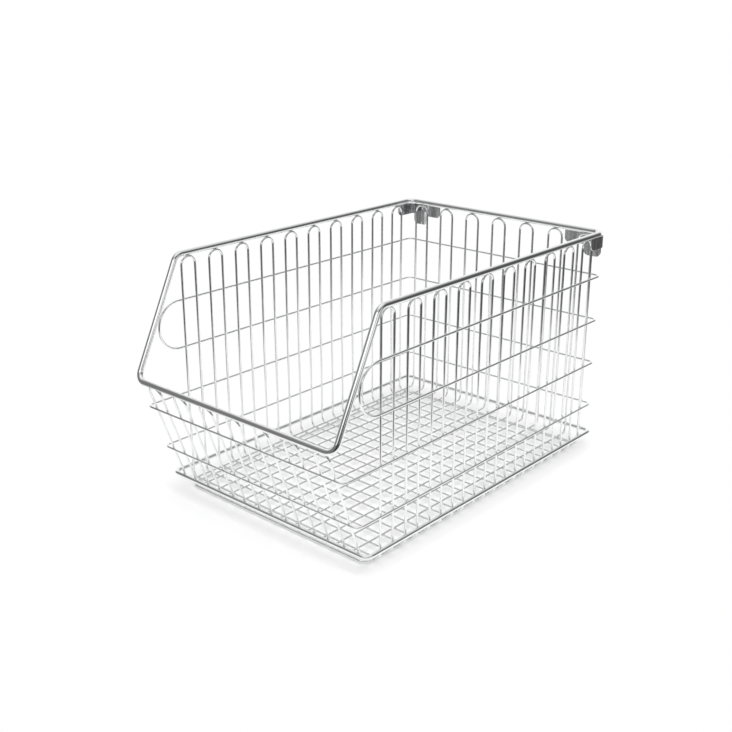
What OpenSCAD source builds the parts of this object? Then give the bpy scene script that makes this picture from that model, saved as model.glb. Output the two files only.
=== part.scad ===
// Open-front wire basket: a heavy rim, closed wire loops bent into a cage,
// rings round the outside, a foot frame and two sheet hooks at the rear corners.
// X runs across, Y runs from the front to the back, Z runs up from the floor.

/* [Basket] */
// Width over the rim
basket_w = 290; // [260:2:330]
// Depth from the front of the front bar to the back of the rear bar
basket_d = 454; // [410:2:500]
// Height from the floor to the top of the rim
basket_h = 266; // [256:2:290]
// How far the front bar lies below the rim
front_drop = 124; // [114:2:134]
// How far the front bar lies ahead of the rim's front bends
front_reach = 60; // [54:1:66]
// Lean of the front wall away from upright, in degrees
front_lean = 19.5; // [17:0.5:21]

/* [Wires] */
// Diameter of the rim wire
rim_wire = 6.4; // [5.6:0.2:7]
// Diameter of the wire of the loops
loop_wire = 2.5; // [2:0.1:3]
// Diameter of the wire of the band and the two rings
ring_wire = 2.5; // [2:0.1:3]
// Diameter of the base ring's wire
base_wire = 5; // [4.4:0.1:5.6]
// Diameter of the foot frame's wire
foot_wire = 3.5; // [3:0.1:4]
// Distance of the loops inside the rim's middle line
loop_inset = 2; // [1.5:0.1:2.5]

/* [Loops] */
// Distance between the two legs of a loop
leg_gap = 18.5; // [17:0.5:20]
// Distance of the rearmost side loop's middle from the rear bar
side_rear = 29.7; // [28:0.1:36]
// Distance of the foremost side loop's middle behind the rim's front bends
side_front = 14.1; // [13:0.1:18]
// Distance of the outermost long loop's middle from the side of the rim
long_margin = 20.9; // [20:0.1:26]
// Bend radius where the walls turn into the floor
floor_bend = 7; // [6:0.5:9]

/* [Rings] */
// Drop from the rim to the upper run of the band
band_drop = 50.5; // [46:0.5:54]
// Distance between the runs of the band and the rings below
ring_pitch = 53; // [50:0.5:55]
// Height of the base ring above the floor
base_lift = 17.4; // [17:0.2:20]
// Distance of the foot frame inside the base ring
foot_inset = 13; // [12:0.5:15]
// Gap between the band's round ends and the rim's slanted legs, middle to middle
band_gap = 10; // [9:0.5:14]
// Bend radius of the rim
rim_bend = 11; // [9:0.5:14]
// Bend radius of the ring corners
ring_bend = 7; // [5:0.5:9]
// Bend radius of the foot frame's corners
foot_bend = 10; // [8:0.5:12]

/* [Corner hooks] */
// Thickness of the hook sheet
hook_sheet = 1.2; // [1:0.1:1.4]
// Height of the hook strip
hook_strip = 14; // [12:0.5:16]
// How far the strip runs forward along the side
hook_wing = 24; // [22:0.5:27]
// How far the strip runs inward along the back
hook_run = 49; // [46:0.5:50]
// Distance of the tongue behind the rear bar's middle line
hook_offset = 4.6; // [4.4:0.1:6]
// Width of the tongue
tongue_w = 21.5; // [18:0.5:22]
// How far the tongue hangs below the strip
tongue_drop = 13; // [10:0.5:16]

/* [Hidden] */
side_count = 10;
long_count = 7;
SIDE_LOOPS = [for (i = [1:side_count]) str("side_loop_", i)];
LONG_LOOPS = [for (i = [1:long_count]) str("long_loop_", i)];
$fn = 24;

// Welded wires lie this far apart, so that no two solids overlap
weld_gap = 0.1;
// A wire draws in a little where it is bent
bend_thinning = 0.97;
// Each bend runs this far into the straight wire at either end of it
bend_lap = 0.2;
// Flat length at the top of a loop
loop_flat = 1;
// Bend radius of the hook strip's middle line at the basket's corner
hook_corner = 5;
// Rounding of the strip's lower end corners
hook_round = 5;
// Rounding of the tongue's lower corners
tongue_round = 6;
// Distance of the tongue from the strip's side wing
tongue_setback = 3.5;
// How much of the tongue's width lies on the jog
jog_lap = 4.5;
// Length of the jog from the tongue's line to the end plate's line
jog_run = 12;

// The rim: its half width, its height and where its bars lie from front to back
rim_x = (basket_w - rim_wire) / 2;
rim_z = basket_h - rim_wire / 2;
hook_back = hook_offset + hook_sheet / 2;
back_y = (basket_d - rim_wire / 2 - hook_back) / 2;
bar_y = back_y - basket_d + rim_wire;
bar_z = rim_z - front_drop;
bend_y = bar_y + front_reach;

// The loops lie against the rim's underside, a little inside its middle line
loop_contact = (rim_wire + loop_wire) / 2 + weld_gap;
loop_drop = sqrt(pow(loop_contact, 2) - pow(loop_inset, 2));
loop_x = rim_x - loop_inset;
loop_top = rim_z - loop_drop;
loop_bend = (leg_gap - loop_flat) / 2;
loop_half = [loop_bend, loop_bend, floor_bend, floor_bend];
loop_radii = concat(loop_half, loop_half);
side_pitch = (back_y - side_rear - bend_y - side_front) / (side_count - 1);
long_pitch = 2 * (rim_x - long_margin) / (long_count - 1);
side_floor = foot_wire + weld_gap + loop_wire / 2;
long_floor = side_floor + loop_wire + weld_gap;

// The rings lie against the outside of the loops
ring_out = (loop_wire + ring_wire) / 2 + weld_gap - loop_inset;
base_out = (loop_wire + base_wire) / 2 + weld_gap - loop_inset;
band_top = rim_z - band_drop;
band_low = band_top - ring_pitch;
band_bend = (ring_pitch - loop_flat) / 2;
band_half = [band_bend, ring_bend, ring_bend, band_bend];
band_radii = concat(band_half, band_half);
leg_slope = front_reach / front_drop;
band_mid_drop = band_drop + ring_pitch / 2;
band_end = bend_y - leg_slope * band_mid_drop + band_gap;

// The hook strip stands under the rim, against the outside of the loops
hook_top = rim_z - rim_wire / 2 - weld_gap;
hook_low = hook_top - hook_strip;
hook_side = loop_x + loop_wire / 2 + weld_gap + hook_sheet / 2;
hook_near = back_y - loop_inset + loop_wire / 2 + weld_gap + hook_sheet / 2;
hook_far = back_y + hook_offset;
tongue_out = hook_side - tongue_setback;
tongue_in = tongue_out - tongue_w;
tongue_low = hook_low - tongue_drop;
jog_start = tongue_in + jog_lap;
jog_end = jog_start - jog_run;

// Where the front wall lies at a height, a distance outside the front bar's middle
function front_y(z, out) = bar_y + (bar_z - z) * tan(front_lean) - out / cos(front_lean);

function unit(v) = v / norm(v);

// A frame whose X and Y axes are two given unit vectors at right angles
function frame(at, u, v) =
    let (w = cross(u, v))
    [[u.x, v.x, w.x, at.x], [u.y, v.y, w.y, at.y], [u.z, v.z, w.z, at.z], [0, 0, 0, 1]];

// The part of a direction that is square to another, as a unit vector
function square_to(v, along) = unit(v - along * (v * along));

// The corners of a level rectangle, one after the other
function level_ring(x, front, back, z) =
    [[-x, front, z], [-x, back, z], [x, back, z], [x, front, z]];

function same(value, n) = [for (i = [1:n]) value];

// A round straight wire between two points
module straight_wire(from, to, d) {
    along = unit(to - from);
    across = square_to(abs(along.z) < 0.5 ? [0, 0, 1] : [0, 1, 0], along);
    multmatrix(frame(from, across, cross(along, across)))
        cylinder(h = norm(to - from), d = d);
}

// A round bend at a corner, from one direction into another
module wire_bend(corner, along, away, radius, d) {
    turn = acos(along * away);
    inward = square_to(away, along);
    start = corner - along * radius * tan(turn / 2);
    lap = bend_lap / radius * 180 / PI;
    multmatrix(frame(start + inward * radius, -inward, along))
        rotate([0, 0, -lap])
            rotate_extrude(angle = turn + 2 * lap)
                translate([radius, 0])
                    circle(d = d * bend_thinning);
}

// A closed wire round a list of corners, each with its own bend radius
module closed_wire(corners, radii, d) {
    n = len(corners);
    runs = [for (i = [0:n - 1]) unit(corners[(i + 1) % n] - corners[i])];
    trims = [
        for (i = [0:n - 1])
            radii[i] * tan(acos(runs[(i + n - 1) % n] * runs[i]) / 2)
    ];
    for (i = [0:n - 1]) {
        next = (i + 1) % n;
        straight_wire(corners[i] + runs[i] * trims[i], corners[next] - runs[i] * trims[next], d);
        wire_bend(corners[i], runs[(i + n - 1) % n], runs[i], radii[i], d);
    }
}

// The heavy rim, level on three sides and dropped to a low bar at the front
module rim_frame() {
    corners = [
        [-rim_x, back_y, rim_z],
        [rim_x, back_y, rim_z],
        [rim_x, bend_y, rim_z],
        [rim_x, bar_y, bar_z],
        [-rim_x, bar_y, bar_z],
        [-rim_x, bend_y, rim_z]
    ];
    color("silver")
        closed_wire(corners, same(rim_bend, 6), rim_wire);
}

// One wire that runs round three walls, turns down at its front ends and runs back
module upper_band() {
    x = rim_x + ring_out;
    back = back_y + ring_out;
    corners = [
        [-x, band_end, band_top],
        [-x, back, band_top],
        [x, back, band_top],
        [x, band_end, band_top],
        [x, band_end, band_low],
        [x, back, band_low],
        [-x, back, band_low],
        [-x, band_end, band_low]
    ];
    color("silver")
        closed_wire(corners, band_radii, ring_wire);
}

// A ring round all four walls at a height
module wall_ring(z, out, d) {
    closed_wire(
        level_ring(rim_x + out, front_y(z, out), back_y + out, z),
        same(ring_bend, 4),
        d
    );
}

module middle_ring() {
    color("silver")
        wall_ring(band_low - ring_pitch, ring_out, ring_wire);
}

module lower_ring() {
    color("silver")
        wall_ring(band_low - 2 * ring_pitch, ring_out, ring_wire);
}

module base_ring() {
    color("silver")
        wall_ring(base_lift, base_out, base_wire);
}

// The frame under the floor wires that the basket stands on
module foot_frame() {
    x = rim_x + base_out - foot_inset;
    front = front_y(base_lift, base_out) + foot_inset;
    back = back_y + base_out - foot_inset;
    color("silver")
        closed_wire(level_ring(x, front, back, foot_wire / 2), same(foot_bend, 4), foot_wire);
}

// A closed loop that hangs from both side rims and crosses the floor
module side_loop(i) {
    mid = bend_y + side_front + (i - 1) * side_pitch;
    near = mid - leg_gap / 2;
    far = mid + leg_gap / 2;
    corners = [
        [-loop_x, near, loop_top],
        [-loop_x, far, loop_top],
        [-loop_x, far, side_floor],
        [loop_x, far, side_floor],
        [loop_x, far, loop_top],
        [loop_x, near, loop_top],
        [loop_x, near, side_floor],
        [-loop_x, near, side_floor]
    ];
    color("silver")
        closed_wire(corners, loop_radii, loop_wire);
}

// A closed loop that hangs from the rear bar, runs forward over the floor and up to the front bar
module long_loop(i) {
    mid = long_margin - rim_x + (i - 1) * long_pitch;
    left = mid - leg_gap / 2;
    right = mid + leg_gap / 2;
    rear = back_y - loop_inset;
    front_top = bar_z - loop_drop * cos(front_lean) - loop_inset * sin(front_lean);
    front_high = front_y(front_top, -loop_inset);
    front_low = front_y(long_floor, -loop_inset);
    corners = [
        [left, rear, loop_top],
        [right, rear, loop_top],
        [right, rear, long_floor],
        [right, front_low, long_floor],
        [right, front_high, front_top],
        [left, front_high, front_top],
        [left, front_low, long_floor],
        [left, rear, long_floor]
    ];
    color("silver")
        closed_wire(corners, loop_radii, loop_wire);
}

// What is cut away to round the lower left corner of a plate
module corner_cut(radius) {
    difference() {
        square(radius);
        translate([radius, radius])
            circle(radius);
    }
}

// A stretch of the hook strip seen from above, between two points of its middle line
module hook_stretch(x0, y0, x1, y1) {
    half = hook_sheet / 2;
    polygon([[x0, y0 - half], [x1, y1 - half], [x1, y1 + half], [x0, y0 + half]]);
}

// The hook strip seen from above: wing, round corner, back, jog and end plate
module hook_plan() {
    wing_end = hook_far - hook_corner;
    translate([hook_side - hook_sheet / 2, back_y - hook_wing])
        square([hook_sheet, wing_end - back_y + hook_wing]);
    translate([hook_side - hook_corner, wing_end])
        intersection() {
            difference() {
                circle(hook_corner + hook_sheet / 2);
                circle(hook_corner - hook_sheet / 2);
            }
            square(hook_corner + hook_sheet);
        }
    hook_stretch(jog_start, hook_far, hook_side - hook_corner, hook_far);
    hook_stretch(jog_end, hook_near, jog_start, hook_far);
    hook_stretch(hook_side - hook_run, hook_near, jog_end, hook_near);
}

// The hook seen from behind: the strip with its rounded end, and the tongue
module hook_back_view() {
    translate([hook_side - hook_run, hook_low])
        difference() {
            square([hook_run + hook_sheet, hook_strip]);
            corner_cut(hook_round);
        }
    translate([tongue_in, tongue_low])
        difference() {
            square([tongue_w, tongue_drop + hook_strip]);
            corner_cut(tongue_round);
            translate([tongue_w, 0])
                mirror([1, 0])
                    corner_cut(tongue_round);
        }
}

// The hook seen from the side: the wing with its rounded end, and the tongue at the back
module hook_side_view() {
    translate([back_y - hook_wing, hook_low])
        difference() {
            square([hook_wing + hook_back, hook_strip]);
            corner_cut(hook_round);
        }
    translate([back_y - loop_inset, tongue_low])
        square([hook_back + loop_inset, tongue_drop + hook_strip]);
}

// The right-hand hook is what its three views have in common
module corner_hook() {
    intersection() {
        translate([0, 0, tongue_low])
            linear_extrude(height = hook_top - tongue_low)
                hook_plan();
        translate([0, back_y + hook_back, 0])
            rotate([90, 0, 0])
                linear_extrude(height = hook_back + hook_wing)
                    hook_back_view();
        rotate([90, 0, 90])
            linear_extrude(height = rim_x + rim_wire)
                hook_side_view();
    }
}

module right_corner_hook() {
    color("gainsboro")
        corner_hook();
}

module left_corner_hook() {
    color("gainsboro")
        mirror([1, 0, 0])
            corner_hook();
}

rim_frame();
upper_band();
middle_ring();
lower_ring();
base_ring();
foot_frame();
left_corner_hook();
right_corner_hook();
for (i = [1:side_count])
    side_loop(i);
for (i = [1:long_count])
    long_loop(i);
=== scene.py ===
"""Looks of the open-front wire basket: chromed wires, weld beads and sheet hooks in a pale studio."""

import math

import bmesh
import bpy
from mathutils import Matrix, Vector, noise


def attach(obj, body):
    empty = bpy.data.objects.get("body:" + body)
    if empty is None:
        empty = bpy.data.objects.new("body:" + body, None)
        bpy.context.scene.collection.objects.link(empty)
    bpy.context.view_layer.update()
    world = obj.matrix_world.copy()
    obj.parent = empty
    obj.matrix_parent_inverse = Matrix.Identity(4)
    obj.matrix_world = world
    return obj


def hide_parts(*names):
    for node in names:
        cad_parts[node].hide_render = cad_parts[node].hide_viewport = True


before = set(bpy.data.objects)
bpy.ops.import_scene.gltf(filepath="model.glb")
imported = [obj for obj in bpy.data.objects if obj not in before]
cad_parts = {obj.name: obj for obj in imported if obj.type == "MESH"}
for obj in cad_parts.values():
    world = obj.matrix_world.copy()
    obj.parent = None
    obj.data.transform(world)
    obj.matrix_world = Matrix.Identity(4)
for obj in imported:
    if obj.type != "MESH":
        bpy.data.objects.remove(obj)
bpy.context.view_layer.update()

MM = 0.001

# Sizes of the basket in millimetres, as the part's source gives them
BASKET_W = 290.0
BASKET_D = 454.0
BASKET_H = 266.0
FRONT_DROP = 124.0
FRONT_REACH = 60.0
FRONT_LEAN = math.radians(19.5)

RIM_WIRE = 6.4
LOOP_WIRE = 2.5
RING_WIRE = 2.5
BASE_WIRE = 5.0
FOOT_WIRE = 3.5
LOOP_INSET = 2.0
WELD_GAP = 0.1

LEG_GAP = 18.5
LOOP_FLAT = 1.0
SIDE_COUNT = 10
SIDE_REAR = 29.7
SIDE_FRONT = 14.1
LONG_COUNT = 7
LONG_MARGIN = 20.9
FLOOR_BEND = 7.0

BAND_DROP = 50.5
RING_PITCH = 53.0
BASE_LIFT = 17.4
FOOT_INSET = 13.0
BAND_GAP = 10.0
RIM_BEND = 11.0
RING_BEND = 7.0
FOOT_BEND = 10.0

HOOK_SHEET = 1.2
HOOK_STRIP = 14.0
HOOK_WING = 24.0
HOOK_RUN = 49.0
HOOK_OFFSET = 4.6
HOOK_CORNER = 5.0
HOOK_ROUND = 5.0
HOOK_CREASE = 2.0
TONGUE_W = 21.5
TONGUE_DROP = 13.0
TONGUE_ROUND = 6.0
TONGUE_SETBACK = 3.5
JOG_LAP = 4.5
JOG_RUN = 12.0

# Where the rim's bars lie
RIM_X = (BASKET_W - RIM_WIRE) / 2
RIM_Z = BASKET_H - RIM_WIRE / 2
BACK_Y = (BASKET_D - RIM_WIRE / 2 - HOOK_OFFSET - HOOK_SHEET / 2) / 2
BAR_Y = BACK_Y - BASKET_D + RIM_WIRE
BAR_Z = RIM_Z - FRONT_DROP
BEND_Y = BAR_Y + FRONT_REACH

# Where the loops lie, inside the rim and on the foot frame
LOOP_CONTACT = (RIM_WIRE + LOOP_WIRE) / 2 + WELD_GAP
LOOP_DROP = math.sqrt(LOOP_CONTACT**2 - LOOP_INSET**2)
LOOP_X = RIM_X - LOOP_INSET
LOOP_REAR = BACK_Y - LOOP_INSET
LOOP_TOP = RIM_Z - LOOP_DROP
LOOP_BEND = (LEG_GAP - LOOP_FLAT) / 2
LOOP_RADII = [LOOP_BEND, LOOP_BEND, FLOOR_BEND, FLOOR_BEND] * 2
SIDE_PITCH = (BACK_Y - SIDE_REAR - BEND_Y - SIDE_FRONT) / (SIDE_COUNT - 1)
LONG_PITCH = 2 * (RIM_X - LONG_MARGIN) / (LONG_COUNT - 1)
SIDE_FLOOR = FOOT_WIRE + WELD_GAP + LOOP_WIRE / 2
LONG_FLOOR = SIDE_FLOOR + LOOP_WIRE + WELD_GAP

# Where the rings lie, outside the loops
RING_OUT = (LOOP_WIRE + RING_WIRE) / 2 + WELD_GAP - LOOP_INSET
BASE_OUT = (LOOP_WIRE + BASE_WIRE) / 2 + WELD_GAP - LOOP_INSET
BAND_TOP = RIM_Z - BAND_DROP
BAND_LOW = BAND_TOP - RING_PITCH
MIDDLE_Z = BAND_LOW - RING_PITCH
LOWER_Z = MIDDLE_Z - RING_PITCH
BAND_BEND = (RING_PITCH - LOOP_FLAT) / 2
BAND_RADII = [BAND_BEND, RING_BEND, RING_BEND, BAND_BEND] * 2
BAND_END = BEND_Y - FRONT_REACH / FRONT_DROP * (BAND_DROP + RING_PITCH / 2) + BAND_GAP
FOOT_X = RIM_X + BASE_OUT - FOOT_INSET

# Where the hook strip lies, under the rim and outside the loops
HOOK_TOP = RIM_Z - RIM_WIRE / 2 - WELD_GAP
HOOK_LOW = HOOK_TOP - HOOK_STRIP
HOOK_SIDE = LOOP_X + LOOP_WIRE / 2 + WELD_GAP + HOOK_SHEET / 2
HOOK_NEAR = LOOP_REAR + LOOP_WIRE / 2 + WELD_GAP + HOOK_SHEET / 2
HOOK_FAR = BACK_Y + HOOK_OFFSET
TONGUE_OUT = HOOK_SIDE - TONGUE_SETBACK
TONGUE_IN = TONGUE_OUT - TONGUE_W
TONGUE_LOW = HOOK_LOW - TONGUE_DROP
JOG_START = TONGUE_IN + JOG_LAP
JOG_END = JOG_START - JOG_RUN

# How finely the wires are drawn, and the name of the map that runs round and along them
BEND_STEPS = 12
THIN_SIDES = 16
RIM_SIDES = 40
WIRE_RUN = "wire_run"

FRONT_OUTWARD = Vector((0, -math.cos(FRONT_LEAN), -math.sin(FRONT_LEAN)))


def front_y(z, out):
    """Where the front wall lies at a height, a distance outside the front bar's middle."""
    return BAR_Y + (BAR_Z - z) * math.tan(FRONT_LEAN) - out / math.cos(FRONT_LEAN)


def side_legs():
    """The two leg places along the basket of each side loop."""
    for i in range(SIDE_COUNT):
        middle = BEND_Y + SIDE_FRONT + i * SIDE_PITCH
        yield middle - LEG_GAP / 2, middle + LEG_GAP / 2


def long_legs():
    """The two leg places across the basket of each long loop."""
    for i in range(LONG_COUNT):
        middle = LONG_MARGIN - RIM_X + i * LONG_PITCH
        yield middle - LEG_GAP / 2, middle + LEG_GAP / 2


def placed(name, data):
    """A new object in the scene, made of a mesh, a lamp or a camera."""
    thing = bpy.data.objects.new(name, data)
    bpy.context.collection.objects.link(thing)
    return thing


def smooth_piece(name, bm):
    """A smoothly shaded piece, made of an edited mesh that is then let go."""
    mesh = bpy.data.meshes.new(name)
    bm.to_mesh(mesh)
    bm.free()
    mesh.shade_smooth()
    return placed(name, mesh)


# Building the wires


def round_bend(before, corner, after, radius, steps):
    """Points of a round bend in place of a path's corner."""
    along = (corner - before).normalized()
    away = (after - corner).normalized()
    turn = along.angle(away)
    inward = (away - along * away.dot(along)).normalized()
    centre = corner - along * radius * math.tan(turn / 2) + inward * radius
    points = []
    for step in range(steps + 1):
        angle = turn * step / steps
        spoke = along * math.sin(angle) - inward * math.cos(angle)
        points.append(centre + spoke * radius)
    return points


def rounded_path(corners, radii):
    """Points of a closed path through the corners, with a round bend at each."""
    corners = [Vector(c) for c in corners]
    path = []
    for i, corner in enumerate(corners):
        after = corners[(i + 1) % len(corners)]
        path += round_bend(corners[i - 1], corner, after, radii[i], BEND_STEPS)
    return path


def carried_normals(tangents):
    """A direction square to each tangent of a closed path, turned as little as possible on the way."""
    normal = tangents[0].orthogonal().normalized()
    normals = [normal]
    for before, after in zip(tangents, tangents[1:] + tangents[:1]):
        normal = before.rotation_difference(after) @ normal
        normals.append(normal)
    first, last = normals[0], normals.pop()
    slip = math.atan2(tangents[0].dot(last.cross(first)), last.dot(first))
    count = len(normals)
    return [Matrix.Rotation(slip * i / count, 3, tangents[i]) @ normals[i] for i in range(count)]


def wire(name, corners, radii, diameter, sides=THIN_SIDES):
    """A closed round wire, with a UV map that runs round it and along it in metres."""
    path = rounded_path(corners, radii)
    count = len(path)
    tangents = [(path[(i + 1) % count] - path[i - 1]).normalized() for i in range(count)]
    normals = carried_normals(tangents)
    verts = []
    for point, tangent, normal in zip(path, tangents, normals):
        side = tangent.cross(normal)
        for j in range(sides):
            angle = 2 * math.pi * j / sides
            spoke = normal * math.cos(angle) + side * math.sin(angle)
            verts.append((point + spoke * diameter / 2) * MM)
    run = [0.0]
    for i in range(count):
        run.append(run[-1] + (path[(i + 1) % count] - path[i]).length * MM)
    faces, uvs = [], []
    for i in range(count):
        ahead = (i + 1) % count
        for j in range(sides):
            turn = (j + 1) % sides
            faces.append((i * sides + j, i * sides + turn, ahead * sides + turn, ahead * sides + j))
            low, high = j / sides, (j + 1) / sides
            uvs += [(low, run[i]), (high, run[i]), (high, run[i + 1]), (low, run[i + 1])]
    mesh = bpy.data.meshes.new(name)
    mesh.from_pydata(verts, [], faces)
    layer = mesh.uv_layers.new(name=WIRE_RUN)
    for loop, uv in zip(layer.data, uvs):
        loop.uv = uv
    mesh.shade_smooth()
    return placed(name, mesh)


def level_ring(x, front, back, z):
    """Corners of a level ring."""
    return [(-x, front, z), (-x, back, z), (x, back, z), (x, front, z)]


def make_rim():
    """The heavy rim, level at the back and sides and slanted down to the front bar."""
    corners = [
        (-RIM_X, BACK_Y, RIM_Z),
        (RIM_X, BACK_Y, RIM_Z),
        (RIM_X, BEND_Y, RIM_Z),
        (RIM_X, BAR_Y, BAR_Z),
        (-RIM_X, BAR_Y, BAR_Z),
        (-RIM_X, BEND_Y, RIM_Z),
    ]
    return wire("rim_wire", corners, [RIM_BEND] * len(corners), RIM_WIRE, RIM_SIDES)


def make_band():
    """The band: two runs round three walls, joined by round ends at the front."""
    x = RIM_X + RING_OUT
    back = BACK_Y + RING_OUT
    corners = [
        (-x, BAND_END, BAND_TOP),
        (-x, back, BAND_TOP),
        (x, back, BAND_TOP),
        (x, BAND_END, BAND_TOP),
        (x, BAND_END, BAND_LOW),
        (x, back, BAND_LOW),
        (-x, back, BAND_LOW),
        (-x, BAND_END, BAND_LOW),
    ]
    return wire("band_wire", corners, BAND_RADII, RING_WIRE)


def make_ring(name, z, out, diameter):
    """A ring round all four walls, a distance outside the rim's middle line."""
    corners = level_ring(RIM_X + out, front_y(z, out), BACK_Y + out, z)
    return wire(name, corners, [RING_BEND] * len(corners), diameter)


def make_foot():
    """The frame that the basket stands on, inside the base ring."""
    front = front_y(BASE_LIFT, BASE_OUT) + FOOT_INSET
    back = BACK_Y + BASE_OUT - FOOT_INSET
    corners = level_ring(FOOT_X, front, back, FOOT_WIRE / 2)
    return wire("foot_wire", corners, [FOOT_BEND] * len(corners), FOOT_WIRE)


def make_side_loop(name, near, far):
    """A loop up the left wall, across the floor and up the right wall."""
    corners = [
        (-LOOP_X, near, LOOP_TOP),
        (-LOOP_X, far, LOOP_TOP),
        (-LOOP_X, far, SIDE_FLOOR),
        (LOOP_X, far, SIDE_FLOOR),
        (LOOP_X, far, LOOP_TOP),
        (LOOP_X, near, LOOP_TOP),
        (LOOP_X, near, SIDE_FLOOR),
        (-LOOP_X, near, SIDE_FLOOR),
    ]
    return wire(name, corners, LOOP_RADII, LOOP_WIRE)


def front_hairpin_top():
    """Height and depth of the long loops' bends under the front bar."""
    z = BAR_Z - LOOP_DROP * math.cos(FRONT_LEAN) - LOOP_INSET * math.sin(FRONT_LEAN)
    return z, front_y(z, -LOOP_INSET)


def make_long_loop(name, left, right):
    """A loop up the back wall, along the floor and up the front wall."""
    front_top, front_high = front_hairpin_top()
    front_low = front_y(LONG_FLOOR, -LOOP_INSET)
    corners = [
        (left, LOOP_REAR, LOOP_TOP),
        (right, LOOP_REAR, LOOP_TOP),
        (right, LOOP_REAR, LONG_FLOOR),
        (right, front_low, LONG_FLOOR),
        (right, front_high, front_top),
        (left, front_high, front_top),
        (left, front_low, LONG_FLOOR),
        (left, LOOP_REAR, LONG_FLOOR),
    ]
    return wire(name, corners, LOOP_RADII, LOOP_WIRE)


# Building the weld beads


# Half sizes of a bead in millimetres: along the wire, across it and outward
CROSS_BEAD = (1.15, 1.15, 0.5)
RIM_BEAD = (2.4, 0.9, 0.6)

# How uneven a bead is, how many lumps it has, and how fast the lumps change from place to place
BEAD_UNEVEN = 0.12
BEAD_LUMPS = 1.3
BEAD_CHANGE = 0.37
BEAD_DETAIL = 2


def add_bead(bm, at, along, outward, size):
    """A small uneven lens of weld metal, where two wires touch."""
    outward = outward.normalized()
    along = along.normalized()
    across = outward.cross(along)
    turn = Matrix((along, across, outward)).transposed()
    made = bmesh.ops.create_icosphere(bm, subdivisions=BEAD_DETAIL, radius=1.0)
    for vert in made["verts"]:
        swell = 1 + BEAD_UNEVEN * noise.noise(vert.co * BEAD_LUMPS + at * BEAD_CHANGE)
        vert.co = (at + turn @ (Vector(a * b for a, b in zip(vert.co, size)) * swell)) * MM


def bead_piece(name, beads):
    """One piece of all the beads given as place, direction, outward direction and size."""
    bm = bmesh.new()
    for at, along, outward, size in beads:
        add_bead(bm, Vector(at), Vector(along), Vector(outward), size)
    return smooth_piece(name, bm)


def wall_beads():
    """Where the rings cross the legs of the loops, on all four walls."""
    touch = LOOP_WIRE / 2 + WELD_GAP / 2
    for z in (BAND_TOP, BAND_LOW, MIDDLE_Z, LOWER_Z, BASE_LIFT):
        for pair in side_legs():
            for y in pair:
                for hand in (-1, 1):
                    yield (hand * (LOOP_X + touch), y, z), (0, 1, 0), (hand, 0, 0), CROSS_BEAD
        for pair in long_legs():
            for x in pair:
                yield (x, LOOP_REAR + touch, z), (1, 0, 0), (0, 1, 0), CROSS_BEAD
    for z in (MIDDLE_Z, LOWER_Z, BASE_LIFT):
        wall_z = z + touch * FRONT_OUTWARD.z
        out = touch - LOOP_INSET
        for pair in long_legs():
            for x in pair:
                yield (x, front_y(wall_z, out), wall_z), (1, 0, 0), FRONT_OUTWARD, CROSS_BEAD


def floor_beads():
    """Where the floor wires cross one another and the sides of the foot frame."""
    floor_touch = SIDE_FLOOR + (LOOP_WIRE + WELD_GAP) / 2
    foot_touch = FOOT_WIRE + WELD_GAP / 2
    for pair in side_legs():
        for y in pair:
            for across in long_legs():
                for x in across:
                    yield (x, y, floor_touch), (1, 0, 0), (0, 0, 1), CROSS_BEAD
            for hand in (-1, 1):
                yield (hand * FOOT_X, y, foot_touch), (1, 0, 0), (0, 0, 1), CROSS_BEAD


def rim_beads():
    """Where the tops of the loops touch the rim's underside."""
    reach = (LOOP_WIRE + WELD_GAP) / 2
    for near, far in side_legs():
        for hand in (-1, 1):
            top = Vector((hand * LOOP_X, (near + far) / 2, LOOP_TOP))
            up = Vector((hand * LOOP_INSET, 0, LOOP_DROP)).normalized()
            yield top + up * reach, (0, 1, 0), up, RIM_BEAD
    front_top, front_high = front_hairpin_top()
    for left, right in long_legs():
        middle = (left + right) / 2
        top = Vector((middle, LOOP_REAR, LOOP_TOP))
        up = Vector((0, LOOP_INSET, LOOP_DROP)).normalized()
        yield top + up * reach, (1, 0, 0), up, RIM_BEAD
        top = Vector((middle, front_high, front_top))
        up = (Vector((middle, BAR_Y, BAR_Z)) - top).normalized()
        yield top + up * reach, (1, 0, 0), up, RIM_BEAD


# Building the corner hooks


# How finely the hooks are drawn, and the round of their edges in millimetres
HOOK_ARC_STEPS = 8
HOOK_EDGE = 0.2
HOOK_EDGE_STEPS = 2
ROUND_PROFILE = 0.5
SHARP_EDGE = math.radians(60)

# How near counts as the same place: in millimetres along the strip, and as a share of one stretch
SAME_RUN = 1e-6
CUT_SLACK = 1e-4
SAME_SHARE = 1e-4


def hook_line():
    """The hook strip's middle line seen from above, from the front of the wing to the end plate."""
    corners = [
        Vector((HOOK_SIDE, BACK_Y - HOOK_WING)),
        Vector((HOOK_SIDE, HOOK_FAR)),
        Vector((JOG_START, HOOK_FAR)),
        Vector((JOG_END, HOOK_NEAR)),
        Vector((HOOK_SIDE - HOOK_RUN, HOOK_NEAR)),
    ]
    radii = [HOOK_CORNER, HOOK_CREASE, HOOK_CREASE]
    line = [corners[0]]
    for before, corner, after, radius in zip(corners, corners[1:], corners[2:], radii):
        line += round_bend(before, corner, after, radius, HOOK_ARC_STEPS)
    return line + [corners[-1]]


def line_runs(line):
    """How far along the line each of its points lies."""
    runs = [0.0]
    for a, b in zip(line, line[1:]):
        runs.append(runs[-1] + (b - a).length)
    return runs


def run_at_x(line, runs, x):
    """How far along the line it passes a place across the basket, behind the wing."""
    for i in range(len(line) - 1, 0, -1):
        a, b = line[i - 1], line[i]
        if b.x <= x <= a.x and a.x > b.x:
            return runs[i - 1] + (runs[i] - runs[i - 1]) * (a.x - x) / (a.x - b.x)
    raise ValueError("the line does not pass there")


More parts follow.
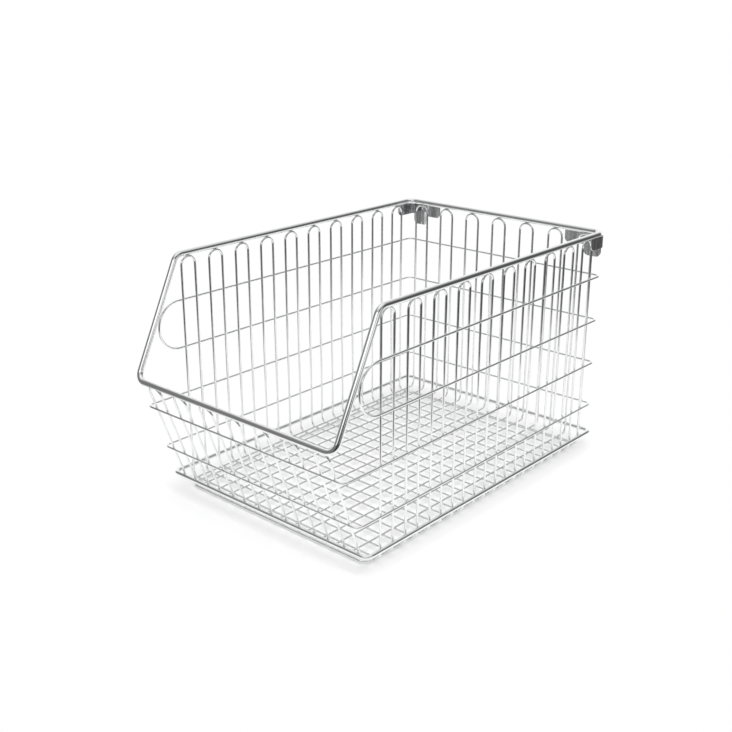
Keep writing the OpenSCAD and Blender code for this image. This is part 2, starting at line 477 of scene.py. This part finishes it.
def quarter_round(run, z, radius, start):
    """Points of a quarter circle in the strip laid flat, counter-clockwise from an angle."""
    points = []
    for step in range(HOOK_ARC_STEPS + 1):
        angle = start + math.pi / 2 * step / HOOK_ARC_STEPS
        points.append((run + radius * math.cos(angle), z + radius * math.sin(angle)))
    return points


def hook_outline(line, runs):
    """The strip and its tongue laid flat: how far along, and how high."""
    end = runs[-1]
    first, last = run_at_x(line, runs, TONGUE_OUT), run_at_x(line, runs, TONGUE_IN)
    down = -math.pi / 2
    outline = [(0.0, HOOK_TOP)]
    outline += quarter_round(HOOK_ROUND, HOOK_LOW + HOOK_ROUND, HOOK_ROUND, math.pi)
    outline += [(first, HOOK_LOW)]
    outline += quarter_round(first + TONGUE_ROUND, TONGUE_LOW + TONGUE_ROUND, TONGUE_ROUND, math.pi)
    outline += quarter_round(last - TONGUE_ROUND, TONGUE_LOW + TONGUE_ROUND, TONGUE_ROUND, down)
    outline += [(last, HOOK_LOW)]
    outline += quarter_round(end - HOOK_ROUND, HOOK_LOW + HOOK_ROUND, HOOK_ROUND, down)
    return outline + [(end, HOOK_TOP)]


def bent_place(line, runs, run, z, offset):
    """A point of the flat strip, moved to where the bent strip has it, off its middle surface."""
    i = max(1, next((k for k, r in enumerate(runs) if r >= run - SAME_RUN), len(runs) - 1))
    share = (run - runs[i - 1]) / (runs[i] - runs[i - 1])
    before = (line[i] - line[i - 1]).normalized()
    tangent = before
    if share < SAME_SHARE and i > 1:
        tangent = (before + (line[i - 1] - line[i - 2]).normalized()).normalized()
    elif share > 1 - SAME_SHARE and i < len(line) - 1:
        tangent = (before + (line[i + 1] - line[i]).normalized()).normalized()
    place = line[i - 1].lerp(line[i], share) + Vector((tangent.y, -tangent.x)) * offset
    return Vector((place.x, place.y, z))


def flat_hook(line, runs):
    """The hook's outline laid flat, cut across wherever the strip bends."""
    flat = bmesh.new()
    flat.faces.new([flat.verts.new((run, 0, z)) for run, z in hook_outline(line, runs)])
    for run in runs[1:-1]:
        geom = flat.verts[:] + flat.edges[:] + flat.faces[:]
        cut = {"plane_co": (run, 0, 0), "plane_no": (1, 0, 0), "dist": CUT_SLACK}
        bmesh.ops.bisect_plane(flat, geom=geom, **cut)
    return flat


def make_hook(name, hand):
    """A bent sheet hook: its flat outline, bent and given its thickness and rounded edges."""
    line = hook_line()
    runs = line_runs(line)
    flat = flat_hook(line, runs)
    bm = bmesh.new()
    half = HOOK_SHEET / 2
    sheets = []
    for offset in (half, -half):
        sheets.append({v: bm.verts.new(bent_place(line, runs, v.co.x, v.co.z, offset)) for v in flat.verts})
    outer, inner = sheets
    for face in flat.faces:
        bm.faces.new([outer[v] for v in face.verts])
        bm.faces.new([inner[v] for v in reversed(face.verts)])
    for edge in flat.edges:
        if edge.is_boundary:
            a, b = edge.verts
            bm.faces.new([outer[a], outer[b], inner[b], inner[a]])
    flat.free()
    for vert in bm.verts:
        vert.co = Vector((vert.co.x * hand, vert.co.y, vert.co.z)) * MM
    bmesh.ops.recalc_face_normals(bm, faces=bm.faces)
    rims = [e for e in bm.edges if e.calc_face_angle(0) > SHARP_EDGE]
    edge_round = {"offset": HOOK_EDGE * MM, "segments": HOOK_EDGE_STEPS, "profile": ROUND_PROFILE}
    bmesh.ops.bevel(bm, geom=rims, affect="EDGES", **edge_round)
    piece = smooth_piece(name, bm)
    weighted = piece.modifiers.new("flat_faces_stay_flat", "WEIGHTED_NORMAL")
    weighted.keep_sharp = True
    return piece


# Finishes


# Haze in the plating: detail of its noise, the share of fine grain, and the levels that are clear and hazy
PATCH_DETAIL = 3.0
GRAIN_DETAIL = 1.0
GRAIN_SHARE = 0.3
HAZE_START = 0.35
HAZE_FULL = 0.7

# Lines along the wires and on the brushed sheet: detail of their noise, and the levels between them
DRAWN_DETAIL = 4.0
BRUSH_DETAIL = 2.0
BRUSH_START = 0.35
BRUSH_FULL = 0.65

# How pointed an edge is where it is fully worn, and the height of the lines in metres
WEAR_FULL = 0.62
LINE_HEIGHT = 0.0001


def new_group(name, inputs, outputs):
    """An empty shader group with named number inputs and outputs."""
    group = bpy.data.node_groups.new(name, "ShaderNodeTree")
    for label, value in inputs.items():
        socket = group.interface.new_socket(name=label, in_out="INPUT", socket_type="NodeSocketFloat")
        socket.default_value = value
    for label in outputs:
        group.interface.new_socket(name=label, in_out="OUTPUT", socket_type="NodeSocketFloat")
    return group, group.nodes.new("NodeGroupInput"), group.nodes.new("NodeGroupOutput")


def plating_haze_group():
    """Soft patches where the plating is a little less bright."""
    inputs = {"Patches": 60.0, "Fine Grain": 900.0, "Clear": 0.08, "Hazy": 0.2}
    group, given, result = new_group("plating_haze", inputs, ["Haze", "Roughness"])
    nodes, links = group.nodes, group.links
    place = nodes.new("ShaderNodeTexCoord")
    patches = nodes.new("ShaderNodeTexNoise")
    patches.inputs["Detail"].default_value = PATCH_DETAIL
    grain = nodes.new("ShaderNodeTexNoise")
    grain.inputs["Detail"].default_value = GRAIN_DETAIL
    blend = nodes.new("ShaderNodeMix")
    blend.inputs["Factor"].default_value = GRAIN_SHARE
    spread = nodes.new("ShaderNodeMapRange")
    spread.inputs["From Min"].default_value = HAZE_START
    spread.inputs["From Max"].default_value = HAZE_FULL
    rough = nodes.new("ShaderNodeMapRange")
    links.new(place.outputs["Object"], patches.inputs["Vector"])
    links.new(place.outputs["Object"], grain.inputs["Vector"])
    links.new(given.outputs["Patches"], patches.inputs["Scale"])
    links.new(given.outputs["Fine Grain"], grain.inputs["Scale"])
    links.new(patches.outputs["Fac"], blend.inputs["A"])
    links.new(grain.outputs["Fac"], blend.inputs["B"])
    links.new(blend.outputs["Result"], spread.inputs["Value"])
    links.new(spread.outputs["Result"], rough.inputs["Value"])
    links.new(given.outputs["Clear"], rough.inputs["To Min"])
    links.new(given.outputs["Hazy"], rough.inputs["To Max"])
    links.new(spread.outputs["Result"], result.inputs["Haze"])
    links.new(rough.outputs["Result"], result.inputs["Roughness"])
    return group


def drawing_lines_group():
    """Faint lines along the wire, left by the die that it was drawn through."""
    group, given, result = new_group("drawing_lines", {"Round": 26.0, "Along": 12.0}, ["Height"])
    nodes, links = group.nodes, group.links
    run = nodes.new("ShaderNodeUVMap")
    run.uv_map = WIRE_RUN
    scale = nodes.new("ShaderNodeCombineXYZ")
    stretch = nodes.new("ShaderNodeVectorMath")
    stretch.operation = "MULTIPLY"
    lines = nodes.new("ShaderNodeTexNoise")
    lines.inputs["Scale"].default_value = 1.0
    lines.inputs["Detail"].default_value = DRAWN_DETAIL
    links.new(given.outputs["Round"], scale.inputs["X"])
    links.new(given.outputs["Along"], scale.inputs["Y"])
    links.new(run.outputs["UV"], stretch.inputs[0])
    links.new(scale.outputs["Vector"], stretch.inputs[1])
    links.new(stretch.outputs["Vector"], lines.inputs["Vector"])
    links.new(lines.outputs["Fac"], result.inputs["Height"])
    return group


def edge_wear_group():
    """A mask that is strong on outer edges, broken up by noise."""
    group, given, result = new_group("edge_wear", {"Sharpness": 0.54, "Break-up": 700.0}, ["Wear"])
    nodes, links = group.nodes, group.links
    shape = nodes.new("ShaderNodeNewGeometry")
    edge = nodes.new("ShaderNodeMapRange")
    edge.inputs["From Max"].default_value = WEAR_FULL
    place = nodes.new("ShaderNodeTexCoord")
    chips = nodes.new("ShaderNodeTexNoise")
    worn = nodes.new("ShaderNodeMath")
    worn.operation = "MULTIPLY"
    links.new(shape.outputs["Pointiness"], edge.inputs["Value"])
    links.new(given.outputs["Sharpness"], edge.inputs["From Min"])
    links.new(place.outputs["Object"], chips.inputs["Vector"])
    links.new(given.outputs["Break-up"], chips.inputs["Scale"])
    links.new(edge.outputs["Result"], worn.inputs[0])
    links.new(chips.outputs["Fac"], worn.inputs[1])
    links.new(worn.outputs["Value"], result.inputs["Wear"])
    return group


def place_group(tree, group, values):
    """A use of a shader group in a material, with this material's own values."""
    node = tree.nodes.new("ShaderNodeGroup")
    node.node_tree = group
    for label, value in values.items():
        node.inputs[label].default_value = value
    return node


def colour_between(tree, clear, hazy, factor):
    """A colour that runs from one colour to another with a mask."""
    mix = tree.nodes.new("ShaderNodeMix")
    mix.data_type = "RGBA"
    mix.inputs["A"].default_value = (*clear, 1.0)
    mix.inputs["B"].default_value = (*hazy, 1.0)
    tree.links.new(factor, mix.inputs["Factor"])
    return mix.outputs["Result"]


def plated_metal(name, haze):
    """A new metal material whose roughness follows its haze, with its tree, its shader and its haze mask."""
    material = bpy.data.materials.new(name)
    material.use_nodes = True
    tree = material.node_tree
    shader = tree.nodes["Principled BSDF"]
    shader.inputs["Metallic"].default_value = 1.0
    patches = place_group(tree, PLATING_HAZE, haze)
    tree.links.new(patches.outputs["Roughness"], shader.inputs["Roughness"])
    return material, tree, shader, patches.outputs["Haze"]


def raise_lines(tree, shader, height, depth):
    """Lets fine lines catch the light."""
    bump = tree.nodes.new("ShaderNodeBump")
    bump.inputs["Strength"].default_value = depth
    bump.inputs["Distance"].default_value = LINE_HEIGHT
    tree.links.new(height, bump.inputs["Height"])
    tree.links.new(bump.outputs["Normal"], shader.inputs["Normal"])


def wire_chrome(name, clear, hazy, haze, lines, depth):
    """Bright plating on drawn wire."""
    material, tree, shader, haze_mask = plated_metal(name, haze)
    colour = colour_between(tree, clear, hazy, haze_mask)
    tree.links.new(colour, shader.inputs["Base Color"])
    drawn = place_group(tree, DRAWING_LINES, lines)
    raise_lines(tree, shader, drawn.outputs["Height"], depth)
    return material


def upright_lines(tree, across, upright):
    """A mask of fine upright lines, left by brushing the sheet before it was plated."""
    place = tree.nodes.new("ShaderNodeTexCoord")
    stretch = tree.nodes.new("ShaderNodeVectorMath")
    stretch.operation = "MULTIPLY"
    stretch.inputs[1].default_value = (across, across, upright)
    lines = tree.nodes.new("ShaderNodeTexNoise")
    lines.inputs["Scale"].default_value = 1.0
    lines.inputs["Detail"].default_value = BRUSH_DETAIL
    spread = tree.nodes.new("ShaderNodeMapRange")
    spread.inputs["From Min"].default_value = BRUSH_START
    spread.inputs["From Max"].default_value = BRUSH_FULL
    tree.links.new(place.outputs["Object"], stretch.inputs[0])
    tree.links.new(stretch.outputs["Vector"], lines.inputs["Vector"])
    tree.links.new(lines.outputs["Fac"], spread.inputs["Value"])
    return spread.outputs["Result"]


def sheet_chrome(name, clear, brushed, worn, haze, wear, lines, depth):
    """Plating on bent sheet, with brushed lines on its faces and rubbed bright on its edges."""
    material, tree, shader, _ = plated_metal(name, haze)
    edges = place_group(tree, EDGE_WEAR, wear)
    line_mask = upright_lines(tree, **lines)
    mix = tree.nodes.new("ShaderNodeMix")
    mix.data_type = "RGBA"
    mix.inputs["B"].default_value = (*worn, 1.0)
    tree.links.new(edges.outputs["Wear"], mix.inputs["Factor"])
    tree.links.new(colour_between(tree, clear, brushed, line_mask), mix.inputs["A"])
    tree.links.new(mix.outputs["Result"], shader.inputs["Base Color"])
    raise_lines(tree, shader, line_mask, depth)
    return material


def bead_chrome(name, clear, hazy, haze):
    """Plating over weld metal, duller and rougher than on the wire."""
    material, tree, shader, haze_mask = plated_metal(name, haze)
    colour = colour_between(tree, clear, hazy, haze_mask)
    tree.links.new(colour, shader.inputs["Base Color"])
    return material


PLATING_HAZE = plating_haze_group()
DRAWING_LINES = drawing_lines_group()
EDGE_WEAR = edge_wear_group()

RIM_CHROME = wire_chrome(
    "rim_chrome",
    clear=(0.92, 0.925, 0.93),
    hazy=(0.85, 0.855, 0.86),
    haze={"Patches": 45.0, "Clear": 0.07, "Hazy": 0.15},
    lines={"Round": 60.0, "Along": 20.0},
    depth=0.06,
)
WIRE_CHROME = wire_chrome(
    "wire_chrome",
    clear=(0.93, 0.935, 0.94),
    hazy=(0.86, 0.865, 0.87),
    haze={"Patches": 60.0, "Clear": 0.07, "Hazy": 0.16},
    lines={"Round": 26.0, "Along": 12.0},
    depth=0.06,
)
HOOK_CHROME = sheet_chrome(
    "hook_chrome",
    clear=(0.95, 0.955, 0.96),
    brushed=(0.62, 0.625, 0.63),
    worn=(0.95, 0.95, 0.95),
    haze={"Patches": 140.0, "Clear": 0.12, "Hazy": 0.22},
    wear={"Sharpness": 0.54, "Break-up": 700.0},
    lines={"across": 420.0, "upright": 18.0},
    depth=0.05,
)
BEAD_CHROME = bead_chrome(
    "bead_chrome",
    clear=(0.72, 0.72, 0.73),
    hazy=(0.55, 0.55, 0.56),
    haze={"Patches": 500.0, "Clear": 0.15, "Hazy": 0.35},
)


def finish_piece(piece, material, slot, *nodes):
    """Gives a piece its finish, and sets it in the place of the CAD nodes that it stands for."""
    piece.data.materials.append(material)
    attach(piece, "root")
    if nodes:
        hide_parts(*nodes)


# The basket

finish_piece(make_rim(), RIM_CHROME, "rim_chrome", "rim_frame")
finish_piece(make_band(), WIRE_CHROME, "wire_chrome", "upper_band")
RINGS = {
    "middle_ring": (MIDDLE_Z, RING_OUT, RING_WIRE),
    "lower_ring": (LOWER_Z, RING_OUT, RING_WIRE),
    "base_ring": (BASE_LIFT, BASE_OUT, BASE_WIRE),
}
for node, (height, out, diameter) in RINGS.items():
    ring = make_ring(f"{node}_wire", height, out, diameter)
    finish_piece(ring, WIRE_CHROME, "wire_chrome", node)
finish_piece(make_foot(), WIRE_CHROME, "wire_chrome", "foot_frame")
for number, (near, far) in enumerate(side_legs(), 1):
    side_loop = make_side_loop(f"side_loop_wire_{number}", near, far)
    finish_piece(side_loop, WIRE_CHROME, "wire_chrome", f"side_loop_{number}")
for number, (left, right) in enumerate(long_legs(), 1):
    long_loop = make_long_loop(f"long_loop_wire_{number}", left, right)
    finish_piece(long_loop, WIRE_CHROME, "wire_chrome", f"long_loop_{number}")
finish_piece(make_hook("left_hook_sheet", -1), HOOK_CHROME, "hook_chrome", "left_corner_hook")
finish_piece(make_hook("right_hook_sheet", 1), HOOK_CHROME, "hook_chrome", "right_corner_hook")
finish_piece(bead_piece("wall_weld_beads", wall_beads()), BEAD_CHROME, "wire_chrome")
finish_piece(bead_piece("floor_weld_beads", floor_beads()), BEAD_CHROME, "wire_chrome")
finish_piece(bead_piece("rim_weld_beads", rim_beads()), BEAD_CHROME, "rim_chrome")


# The studio

# The camera: place and clipping in metres, lens and sensor in millimetres
CAMERA_PLACE = Vector((0.7347, -0.8479, 0.5375))
CAMERA_AZIMUTH = math.radians(41.71)
CAMERA_ELEVATION = math.radians(20.07)
CAMERA_LENS = 52.48
CAMERA_SENSOR = 36.0
CAMERA_NEAR = 0.05
CAMERA_FAR = 60.0

# Directions as the photograph shows them
TOWARD = Vector((math.sin(CAMERA_AZIMUTH), -math.cos(CAMERA_AZIMUTH), 0))
ACROSS = Vector((math.cos(CAMERA_AZIMUTH), math.sin(CAMERA_AZIMUTH), 0))
UP = Vector((0, 0, 1))

# The table's edges, in metres from the middle of the basket
TABLE_FRONT = 0.43
TABLE_BACK = 2.0
TABLE_SIDE = 1.5

# Where the metal sees the table grow dim to the sides and white at the back, in metres, and how
# much the lit part narrows toward the back
LIT_SPREAD = 0.2
LIT_LEFT = 0.18
DIM_LEFT = 0.56
LIT_RIGHT = 0.3
DIM_RIGHT = 1.0
DIM_BACK = 0.35
LIT_BACK = 1.2

# The shadow on the table: how far it reaches in metres, and its share beside plain white
SHADOW_NEAR = 0.27
SHADOW_FAR = 0.38
SHADOW_SHARE = 0.75
PAPER_COLOUR = (0.93, 0.93, 0.93, 1)
WHITE = (1, 1, 1, 1)

# How bright the metal sees the dim sides of the room
LEFT_WALL = 0.2
RIGHT_WALL = 0.09
FRONT_WALL = 0.06
FRONT_FLOOR = 0.02

# How far a direction points to a side of the room where that side begins and where it is full, and
# how far the ceiling leans to the right
SIDE_WALL_FULL = 0.8
FRONT_FLOOR_FULL = -0.4
BACK_WALL_START = 0.28
BACK_WALL_FULL = 0.8
CEILING_START = 0.4
CEILING_FULL = 1.05
CEILING_TILT = 0.07


def map_range(tree, value, reach, levels):
    """A value that runs smoothly between two levels, while the given one runs between two others."""
    node = tree.nodes.new("ShaderNodeMapRange")
    node.interpolation_type = "SMOOTHSTEP"
    node.inputs["From Min"].default_value, node.inputs["From Max"].default_value = reach
    node.inputs["To Min"].default_value, node.inputs["To Max"].default_value = levels
    tree.links.new(value, node.inputs["Value"])
    return node.outputs["Result"]


def chosen(tree, which, *values):
    """The smallest or the largest of some values."""
    best = values[0]
    for value in values[1:]:
        node = tree.nodes.new("ShaderNodeMath")
        node.operation = which
        tree.links.new(best, node.inputs[0])
        tree.links.new(value, node.inputs[1])
        best = node.outputs["Value"]
    return best


def share_of(tree, vector, direction):
    """How far a vector reaches in a direction."""
    node = tree.nodes.new("ShaderNodeVectorMath")
    node.operation = "DOT_PRODUCT"
    node.inputs[1].default_value = direction
    tree.links.new(vector, node.inputs[0])
    return node.outputs["Value"]


def table_light(tree, place):
    """How bright the metal sees each place of the table: a painted glow that dims to the sides and is white
    again at the back.
    """
    to_left = share_of(tree, place, -ACROSS - TOWARD * LIT_SPREAD)
    to_right = share_of(tree, place, ACROSS - TOWARD * LIT_SPREAD)
    to_back = share_of(tree, place, -TOWARD)
    left_light = map_range(tree, to_left, (LIT_LEFT, DIM_LEFT), (1, LEFT_WALL))
    right_light = map_range(tree, to_right, (LIT_RIGHT, DIM_RIGHT), (1, RIGHT_WALL))
    back_light = map_range(tree, to_back, (DIM_BACK, LIT_BACK), (0, 1))
    return chosen(tree, "MAXIMUM", chosen(tree, "MINIMUM", left_light, right_light), back_light)


def table_material():
    """White paper with the basket's shadow, and a painted white glow that the metal sees grow dim to its
    sides.
    """
    material = bpy.data.materials.new("studio_paper")
    material.use_nodes = True
    tree = material.node_tree
    nodes, links = tree.nodes, tree.links
    nodes.clear()
    result = nodes.new("ShaderNodeOutputMaterial")
    ray = nodes.new("ShaderNodeLightPath")
    place = nodes.new("ShaderNodeTexCoord").outputs["Object"]
    distance = nodes.new("ShaderNodeVectorMath")
    distance.operation = "LENGTH"
    links.new(place, distance.inputs[0])
    shadow_reach = (SHADOW_NEAR, SHADOW_FAR)
    plain_share = map_range(tree, distance.outputs["Value"], shadow_reach, (1 - SHADOW_SHARE, 1))
    paper = nodes.new("ShaderNodeBsdfDiffuse")
    paper.inputs["Color"].default_value = PAPER_COLOUR
    white = nodes.new("ShaderNodeEmission")
    white.inputs["Color"].default_value = WHITE
    # The glow is painted light: plain white to the camera, and dimming to the sides where the metal sees it.
    brightness = chosen(tree, "MAXIMUM", table_light(tree, place), ray.outputs["Is Camera Ray"])
    links.new(brightness, white.inputs["Strength"])
    shown = nodes.new("ShaderNodeMixShader")
    links.new(plain_share, shown.inputs["Fac"])
    links.new(paper.outputs["BSDF"], shown.inputs[1])
    links.new(white.outputs["Emission"], shown.inputs[2])
    seen = nodes.new("ShaderNodeMixShader")
    looked_at = chosen(tree, "MAXIMUM", ray.outputs["Is Camera Ray"], ray.outputs["Is Glossy Ray"])
    links.new(looked_at, seen.inputs["Fac"])
    links.new(paper.outputs["BSDF"], seen.inputs[1])
    links.new(shown.outputs["Shader"], seen.inputs[2])
    links.new(seen.outputs["Shader"], result.inputs["Surface"])
    return material


def make_table():
    """A white table under the basket, square to the camera; the room beyond its front edge is dark."""
    corners = [
        TOWARD * TABLE_FRONT - ACROSS * TABLE_SIDE,
        TOWARD * TABLE_FRONT + ACROSS * TABLE_SIDE,
        ACROSS * TABLE_SIDE - TOWARD * TABLE_BACK,
        -ACROSS * TABLE_SIDE - TOWARD * TABLE_BACK,
    ]
    mesh = bpy.data.meshes.new("studio_table")
    mesh.from_pydata(corners, [], [(0, 1, 2, 3)])
    mesh.materials.append(table_material())
    table = placed("studio_table", mesh)


def room_light(tree, look):
    """How bright the metal sees the room in each direction: white behind and above, dim elsewhere."""
    sideways = share_of(tree, look, ACROSS)
    upward = share_of(tree, look, UP)
    backward = share_of(tree, look, -TOWARD)
    to_ceiling = share_of(tree, look, UP + ACROSS * CEILING_TILT)
    left_wall = map_range(tree, sideways, (-SIDE_WALL_FULL, 0), (LEFT_WALL, 0))
    right_wall = map_range(tree, sideways, (0, SIDE_WALL_FULL), (0, RIGHT_WALL))
    front_wall = map_range(tree, upward, (FRONT_FLOOR_FULL, 0), (FRONT_FLOOR, FRONT_WALL))
    back_wall = map_range(tree, backward, (BACK_WALL_START, BACK_WALL_FULL), (0, 1))
    ceiling = map_range(tree, to_ceiling, (CEILING_START, CEILING_FULL), (0, 1))
    return chosen(tree, "MAXIMUM", left_wall, right_wall, front_wall, back_wall, ceiling)


def make_world():
    """White to the camera, and a dim room with a white back and ceiling to the metal."""
    world = bpy.data.worlds.new("studio")
    bpy.context.scene.world = world
    world.use_nodes = True
    tree = world.node_tree
    nodes, links = tree.nodes, tree.links
    nodes.clear()
    result = nodes.new("ShaderNodeOutputWorld")
    ray = nodes.new("ShaderNodeLightPath")
    way = nodes.new("ShaderNodeTexCoord")
    room = nodes.new("ShaderNodeBackground")
    room.inputs["Color"].default_value = WHITE
    links.new(room_light(tree, way.outputs["Generated"]), room.inputs["Strength"])
    white = nodes.new("ShaderNodeBackground")
    white.inputs["Color"].default_value = WHITE
    seen = nodes.new("ShaderNodeMixShader")
    links.new(ray.outputs["Is Camera Ray"], seen.inputs["Fac"])
    links.new(room.outputs["Background"], seen.inputs[1])
    links.new(white.outputs["Background"], seen.inputs[2])
    links.new(seen.outputs["Shader"], result.inputs["Surface"])


def make_softbox(name, place, aim, width, height, power, mirrored):
    """A lamp the size of a softbox, in metres and watts, hidden from the camera and maybe from the metal."""
    lamp = bpy.data.lights.new(name, "AREA")
    lamp.shape = "RECTANGLE"
    lamp.size = width
    lamp.size_y = height
    lamp.energy = power
    box = placed(name, lamp)
    box.location = place
    box.rotation_euler = (aim - place).to_track_quat("-Z", "Y").to_euler()
    box.visible_camera = False
    box.visible_glossy = mirrored


def make_camera():
    """The camera at the photograph's viewing angle."""
    view = bpy.data.cameras.new("camera")
    view.sensor_width = CAMERA_SENSOR
    view.lens = CAMERA_LENS
    view.clip_start = CAMERA_NEAR
    view.clip_end = CAMERA_FAR
    camera = placed("camera", view)
    camera.location = CAMERA_PLACE
    back = TOWARD * math.cos(CAMERA_ELEVATION) + UP * math.sin(CAMERA_ELEVATION)
    camera.rotation_euler = (-back).to_track_quat("-Z", "Y").to_euler()
    bpy.context.scene.camera = camera


make_table()
make_world()
make_softbox(
    "overhead_softbox",
    place=TOWARD * 0.3 + ACROSS * 0.1 + UP * 1.7,
    aim=Vector((0, 0, 0)),
    width=2.2,
    height=2.2,
    power=26.0,
    mirrored=False,
)
make_softbox(
    "front_softbox",
    place=TOWARD * 1.49 - ACROSS * 0.45 + UP * 1.0,
    aim=UP * 1.0,
    width=2.0,
    height=0.77,
    power=5.3,
    mirrored=True,
)
make_softbox(
    "low_right_card",
    place=TOWARD * 0.89 + ACROSS * 0.95 + UP * 0.32,
    aim=UP * 0.32,
    width=1.2,
    height=0.4,
    power=1.4,
    mirrored=True,
)
make_camera()
bpy.context.scene.view_settings.view_transform = "Standard"
